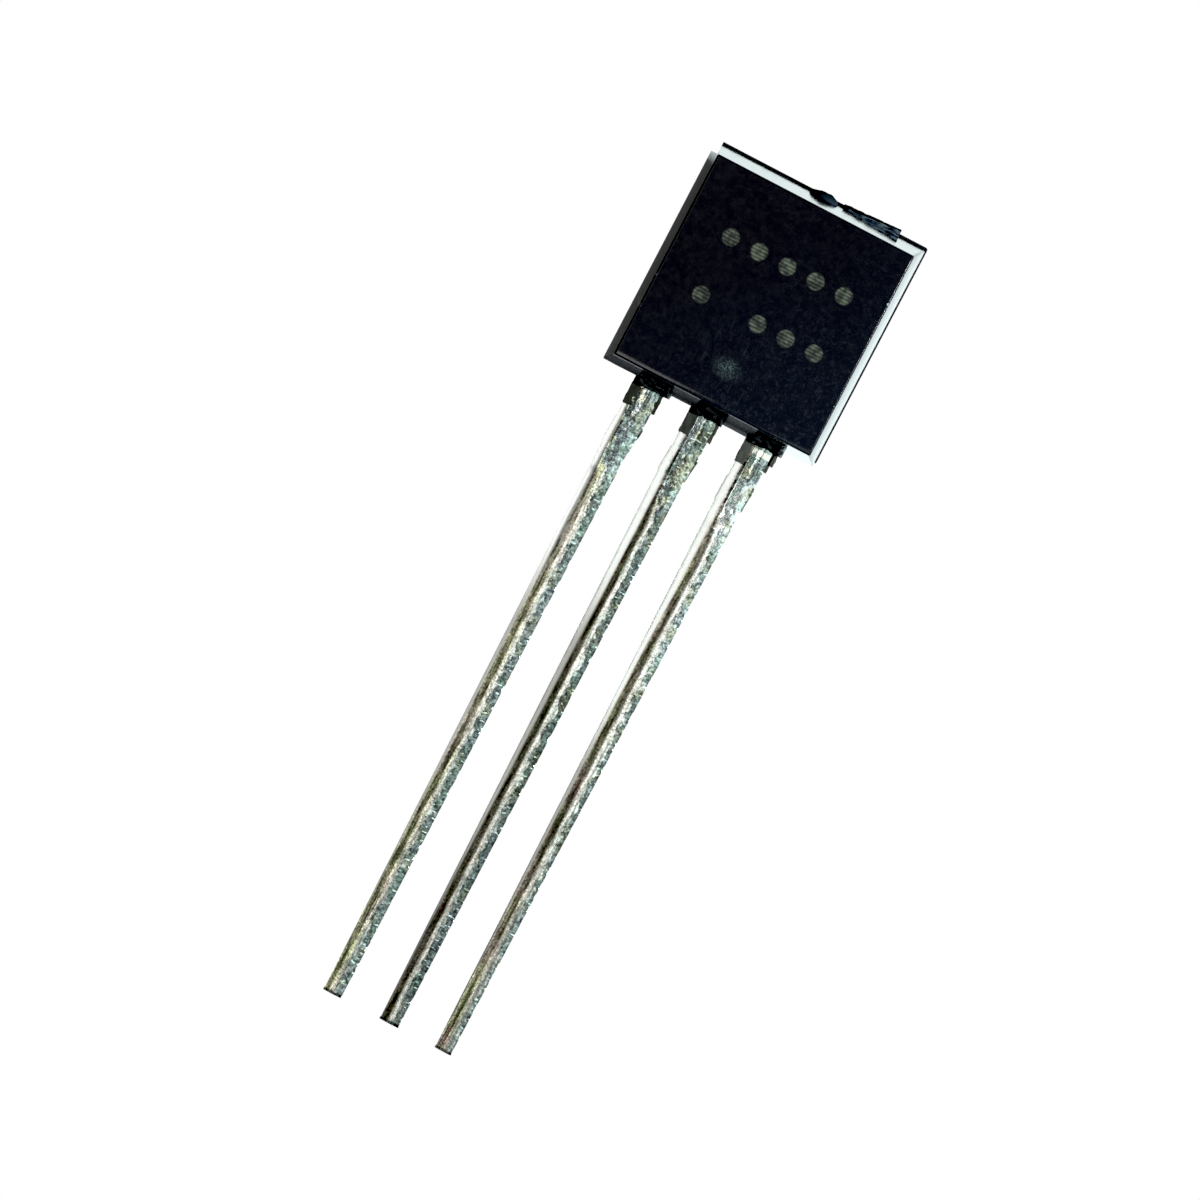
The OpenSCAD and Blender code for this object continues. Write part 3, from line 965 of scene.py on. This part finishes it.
crust = Paint("torn_resin")
crust_place = crust.own_coords()
crust_x, crust_y, crust_z = crust.split(crust_place)
crust_streak = crust.noise(crust_place, 0.06, 3.0, 0.6, scale=(0.25, 1, 1))
crust_gate = crust.fit(crust_y, 4.6, 4.7)
crust_skin = crust.fit(crust_y, -0.12, -0.2)
crust_dust = crust.noise(crust_place, 0.1, 3.0)
crust_colour = crust.mix(crust_dust, (0.0095, 0.0095, 0.0102, 1), (0.0145, 0.0146, 0.0153, 1))
# painted light: the skins lie in shade and are painted lighter grey, lighter still to the right
crust_lit_right = crust.fit(crust_x, -1.6, 1.3)
crust_lit_skin = crust.mix(crust_lit_right, (0.0128, 0.0122, 0.0105, 1), (0.0285, 0.028, 0.0255, 1))
crust_colour = crust.mix(crust_skin, crust_colour, crust_lit_skin)
crust_low = crust.scale(crust.fit(crust_y, 0.5, 0.3), crust.fit(crust_y, -0.15, -0.11))
crust_lump = crust.scale(crust.fit(crust_x, 1.62, 1.66), crust_low)
crust_colour = crust.mix(crust_lump, crust_colour, (0.05, 0.053, 0.058, 1))
# painted shade: the film at the foot is painted grey like the dim, shaded table the foot mirrors
for low_x, high_x, share in FOOT_SHADE_TONES:
    crust_foot_shade = crust.scale(crust.band(crust_x, low_x, high_x, 0.02), crust_low)
    crust_colour = crust.mix(crust_foot_shade, crust_colour, (1.05 * share, share, 1.06 * share, 1))
# partly painted highlight: the pale blue-grey streaks on the gate paint its shine over its own grey
crust_streak = crust.fit(crust_streak, 0.4, 0.62)
crust_smear_and_shine = crust.mix(crust_streak, (0.008, 0.01, 0.016, 1), (0.075, 0.09, 0.108, 1))
crust_smear_and_shine = crust.mix(crust.fit(crust_x, 0.6, 0.45), crust_smear_and_shine, (0.009, 0.011, 0.014, 1))
crust_smear_and_shine = crust.mix(crust.fit(crust_z, 0.2, 0.26), (0.005, 0.005, 0.006, 1), crust_smear_and_shine)
crust_colour = crust.mix(crust_gate, crust_colour, crust_smear_and_shine)
crust_chips = crust.band(crust_y, 0.75, 4.52, 0.05)
crust_colour = crust.mix(crust_chips, crust_colour, (0.13, 0.14, 0.14, 1))
crust_bumps = crust.bump(crust_dust, 0.01)
crust.set(Base_Color=crust_colour, Roughness=0.6, Normal=crust_bumps, Specular_IOR_Level=0.0)
print(f"torn resin: {len(crust.tree.nodes)} nodes")

# %% [markdown]
# ## Body
#
# The body came out of a mould in two halves that didn't quite meet: the front half is a block
# with sloping sides, and the round back sits a little higher and to the right. Both start as a
# bmesh primitive. The block's front corners are drawn in by the draft, a cylinder is sliced for
# the back, and bevels soften what the mould didn't leave sharp. The block is also divided into
# rings, because long thin triangles would spoil its shading after the booleans.

# %% Front half
SIDE_DRAFT = math.radians(6)
END_DRAFT = math.radians(7.5)
STEP_Y = 0.07
LEDGE_Z = 0.02
TOP_LIP, RIGHT_LIP = 0.025, 0.03
FRONT_ROUND, FRONT_ARC = 0.04, 4
RING_COUNT, FIRST_RING, RING_STEP = 15, 0.33, 0.29

side_in = FRONT_DEPTH * math.tan(SIDE_DRAFT)
front_in = FRONT_DEPTH * math.tan(END_DRAFT)

front = bmesh.new()
for vert in box(front, (-HALF_WIDTH, 0, 0), (HALF_WIDTH, BODY_HEIGHT, FRONT_DEPTH)):
    if vert.co.z > FRONT_DEPTH / 2:
        vert.co.x -= math.copysign(side_in, vert.co.x)
        vert.co.y -= math.copysign(front_in, vert.co.y - BODY_HEIGHT / 2)
    else:
        vert.co.x += RIGHT_LIP if vert.co.x > 0 else 0.0
        vert.co.y += TOP_LIP if vert.co.y > BODY_HEIGHT / 2 else 0.0
raised = [edge for edge in front.edges if any(vert.co.z > ROOM for vert in edge.verts)]
round_edges(front, raised, FRONT_ROUND, FRONT_ARC)
for number in range(RING_COUNT):
    divide(front, (0, FIRST_RING + number * RING_STEP, 0), (0, 1, 0))
print(f"front half: {len(front.faces)} faces, sides drawn in by {side_in:.3f} mm")
front_half = as_object("front_half", front)

# %% Back half
BACK_SIDES = 128
BACK_ROUND = 0.05
END_ANGLE = math.radians(50)

back = bmesh.new()
bmesh.ops.create_cone(
    back, cap_ends=True, segments=BACK_SIDES, radius1=BACK_RADIUS, radius2=BACK_RADIUS,
    depth=BODY_HEIGHT, matrix=Matrix.Translation((STEP_X, BODY_HEIGHT / 2 + STEP_Y, 0))
    @ Matrix.Rotation(math.pi / 2, 4, "X")
)
slice_off(back, (0, 0, LEDGE_Z), (0, 0, 1))
slope = math.cos(END_DRAFT), math.sin(END_DRAFT)
slice_off(back, (0, BODY_HEIGHT + STEP_Y, 0), (0, slope[0], -slope[1]))
slice_off(back, (0, STEP_Y, 0), (0, -slope[0], -slope[1]))
ends = [
    edge for edge in back.edges
    if len(edge.link_faces) == 2 and edge.calc_face_angle(0) > END_ANGLE
    and not all(near(vert.co.z, LEDGE_Z) for vert in edge.verts)
]
round_edges(back, ends, BACK_ROUND)
print(f"back half: {len(back.faces)} faces")
back_half = as_object("back_half", back)

# %% [markdown]
# The mould left a small notch at the upper left corner. A box that reaches past the body on
# three sides will cut it out.

# %% Notch
CORNER_W = 0.14
CORNER_H = 0.2

notch_bm = bmesh.new()
box(notch_bm, (-3, BODY_HEIGHT - CORNER_H, -3), (CORNER_W - HALF_WIDTH, BODY_HEIGHT + 1, 3))
notch = as_object("notch", notch_bm)
print(f"notch: {CORNER_W} mm wide and {CORNER_H} mm high")

# %% [markdown]
# ## Flash
#
# Resin also went where it shouldn't. The gate, where it came in, was broken off by hand and
# left a ridge with a torn smear in front of it, and beside it some resin swelled past the
# parting line. Each bit is a blank that noise tears, and it is joined to the body later.

# %% Gate and flash at the top
GATE_WIDTH = 1.24
GATE_THICK = 0.44
GATE_EDGE = 0.6
GATE_FRONT = 0.12
SMEAR_DEPTH = 0.85
OVER = 0.3
# Edge length, height and size of the noise that tears each kind of bit
TEARS = {
    "gate": (0.07, 0.018, 0.12), "flash": (0.06, 0.035, 0.17), "collar": (0.06, 0.05, 0.13),
    "skin": (0.06, 0.022, 0.1), "web": (0.15, 0.006, 0.3), "shard": (0.05, 0.02, 0.1),
}

back_top = BODY_HEIGHT + STEP_Y
gate_right = HALF_WIDTH - GATE_EDGE
gate_left = gate_right - GATE_WIDTH
FLASH_MIDDLE = (0.09, back_top - 0.07, 0.12)
FLASH_HALF = (0.33, 0.12, 0.4)


def torn_bit(name, bm, seed):
    """Tears a blank in its own way and makes an object of it."""
    torn(bm, *TEARS[name], seed)
    return as_object(name, bm, TORN)


def top_wall(z):
    """Height of the front half's sloping top at that depth."""
    return BODY_HEIGHT - z * math.tan(END_DRAFT)


def gate_section(x, rise, depth):
    """Outline of the broken gate at one place: its ridge, and the smear in front of it."""
    low, foot = -GATE_THICK / 2, back_top - OVER
    return [
        (x, foot, low), (x, back_top + rise, low), (x, back_top + rise, GATE_FRONT),
        (x, top_wall(depth) + 0.02, depth), (x, foot, depth),
    ]


def gate():
    """The wedge where the resin came in, broken off by hand."""
    bm = bmesh.new()
    tall = gate_section(gate_right, GATE_TOP - back_top - 0.02, SMEAR_DEPTH)
    flat = gate_section(gate_left, 0.02, 0.2)
    for vert in prism(bm, tall, (-GATE_WIDTH, 0, 0)):
        nearest = min(range(len(tall)), key=lambda i: (Vector(tall[i]) - vert.co).yz.length)
        vert.co = flat[nearest]
    return torn_bit("gate", bm, 1)


def flash():
    """A low mound of flash on the parting line."""
    bm = bmesh.new()
    place = Matrix.Translation(FLASH_MIDDLE) @ Matrix.Diagonal((*FLASH_HALF, 1))
    bmesh.ops.create_icosphere(bm, subdivisions=4, radius=1, matrix=place)
    return torn_bit("flash", bm, 4)


print(f"gate from x = {gate_left:.2f} to {gate_right:.2f} mm")

# %% [markdown]
# At the foot the resin crept out in front of the leads in dark collars and down their sides in
# thin skins. A dull film covers the foot of the body between them: a sheet that stands in for
# the shade that the foot mirrors, and its grey is painted shade. Film and web are one prism
# whose outline follows the sloping foot.

# %% Collars, skins and webs at the foot
COLLAR_DROP = 0.14
COLLAR_RISE = 0.12
COLLAR_THICK = 0.22
COLLAR_SPANS = ((-0.25, 0.4), (-0.22, 0.36), (-0.21, 0.44))
SHADE_FILM = 0.012
WEB_SPANS = (
    (0.003 - HALF_WIDTH, -1.4, 0.0, SIDE_DRAFT), (LEAD_X[0], LEAD_X[1], 0.06, 0),
    (LEAD_X[1], LEAD_X[2], 0.11, 0),
)
SKIN_LENGTH = 0.6
SKIN_THICK = 0.02


def collar(x, span, seed):
    """Resin that crept out in front of one lead."""
    bm = bmesh.new()
    left = x + span[0]
    foot = 0.02 - COLLAR_DROP
    deep, proud = LEAD_HALF_T - 0.1, LEAD_HALF_T + COLLAR_THICK
    top = COLLAR_RISE / math.tan(END_DRAFT) + COLLAR_THICK / 2
    outline = [(left, foot, deep), (left, foot, proud), (left, COLLAR_RISE, top), (left, OVER, deep)]
    prism(bm, outline, (span[1] - span[0], 0, 0))
    return torn_bit("collar", bm, seed)


def skin(x, seed):
    """Resin skin on both sides of one lead."""
    bm = bmesh.new()
    half = ROOT_WIDTH / 2 + SKIN_THICK
    low = 0.02 - LEAD_HALF_T
    box(bm, (x - half, -SKIN_LENGTH, low), (x - half + 0.19, OVER, 0.205))
    box(bm, (x + half - 0.08, -SKIN_LENGTH + 0.05, low), (x + half, OVER, 0.17))
    return torn_bit("skin", bm, seed)


def web(from_x, to_x, drop, slant, seed):
    """Dull film on the foot between two leads, a sheet standing in for shade, and the web under it.
    """
    bm = bmesh.new()
    deep, proud = -drop / math.tan(END_DRAFT), FRONT_DEPTH - 0.05
    rows = (
        (OVER, deep), (-drop, deep), (-SHADE_FILM, 0), (proud * math.tan(END_DRAFT) - SHADE_FILM, proud),
        (OVER, proud),
    )
    prism(bm, [(from_x + z * math.tan(slant), y, z) for y, z in rows], (to_x - from_x, 0, 0))
    return torn_bit("web", bm, seed)


def shard(low, high, seed):
    """A small broken bit of flash between two corners."""
    bm = bmesh.new()
    box(bm, low, high)
    return torn_bit("shard", bm, seed)


print(f"collars reach {COLLAR_DROP} mm down the leads, skins {SKIN_LENGTH} mm")

# %% All the resin left over
LUMP_WIDTH = 0.2
LUMP_HEIGHT = 0.26
LUMP_FRONT = 0.25

lump_left = LEAD_X[2] + ROOT_WIDTH / 2 - 0.05
lump_half = LUMP_HEIGHT / 2
left_over = [
    gate(), flash(),
    shard((lump_left, -lump_half, -LEAD_HALF_T), (lump_left + LUMP_WIDTH, lump_half, LUMP_FRONT), 9),
    shard((LEAD_X[2] + 0.33, -0.38, 0.02), (LEAD_X[2] + 0.4, 0.05, 0.2), 31),
    shard((LEAD_X[0] + 0.34, -0.13, 0.1), (LEAD_X[0] + 0.47, -0.05, 0.3), 32),
]
left_over += [web(*span, 5 + number) for number, span in enumerate(WEB_SPANS)]
for number, x in enumerate(LEAD_X):
    left_over += [collar(x, COLLAR_SPANS[number], 11 + number), skin(x, 21 + number)]
print(f"{len(left_over)} bits of resin left by the mould")

# %% [markdown]
# ## Chips in the edges
#
# Loose parts rub against each other in their bag. A few small torn balls bite chips out of the
# edges, and the boolean leaves the bitten faces with the torn finish.

# %% Chips
CHIPS = (
    ((-2.37, 2.22, 0.1), 0.05), ((-2.2, 2.0, 1.5), 0.035), ((-2.2, 1.3, 1.48), 0.045),
    ((2.2, 3.6, 1.5), 0.035), ((-0.4, 4.7, 1.5), 0.03),
)


def chip(place, radius, seed):
    """A small torn ball that will bite a chip out of an edge."""
    bm = bmesh.new()
    bmesh.ops.create_icosphere(bm, subdivisions=2, radius=radius, matrix=Matrix.Translation(place))
    torn(bm, 1, radius / 3, radius, seed)
    return as_object("chip", bm, TORN)


chips = [chip(place, radius, 41 + number) for number, (place, radius) in enumerate(CHIPS)]
print(f"{len(chips)} chips in the edges")

# %% [markdown]
# The body closes round everything inside it, so the leads, the chip, its solder and its wires
# are cut out of it.

# %% Body piece
CUT_FOOT = -0.8

hollow = [as_object("hollow", blade(name, CUT_FOOT, BLADE_TOP, False)) for name in LEAD_SHAPES]
hollow += [inside_part(name) for name in LEAD_SHAPES]
hollow += [
    as_object("hollow", cad_copy(node))
    for node in ("chip_solder", "silicon_chip", "base_wire", "emitter_wire")
]
body_bm = combine(front_half, added=[back_half, *left_over], taken=[notch, *chips, *hollow])
resins = [resin.material, crust.material]
piece("resin_body", body_bm, resins, ["moulded_body"])

# %% [markdown]
# ## What the resin hides
#
# The silicon chip was sawn from a polished wafer and is soldered to the collector's pad, and
# gold wires run from it to the other two leads. Nobody sees them in the finished part, so the
# CAD shapes are right as they are: each gets a plain material of its own.

# %% Finish of the hidden pieces
INSIDE = {
    "silicon": (("silicon_chip",), (0.16, 0.17, 0.2, 1), 0.12),
    "solder": (("chip_solder",), (0.45, 0.45, 0.47, 1), 0.4),
    "gold": (("base_wire", "emitter_wire"), (0.95, 0.66, 0.26, 1), 0.2),
}
for name, (nodes, colour, rough) in INSIDE.items():
    paint = Paint(name)
    paint.set(Base_Color=colour, Roughness=rough, Metallic=1.0)
    for node in nodes:
        slots = frame["nodes"][node].data.materials
        slots.clear()
        slots.append(paint.material)
print("hidden finishes:", list(INSIDE))

# %% Sizes and finish
print("the scene is built")
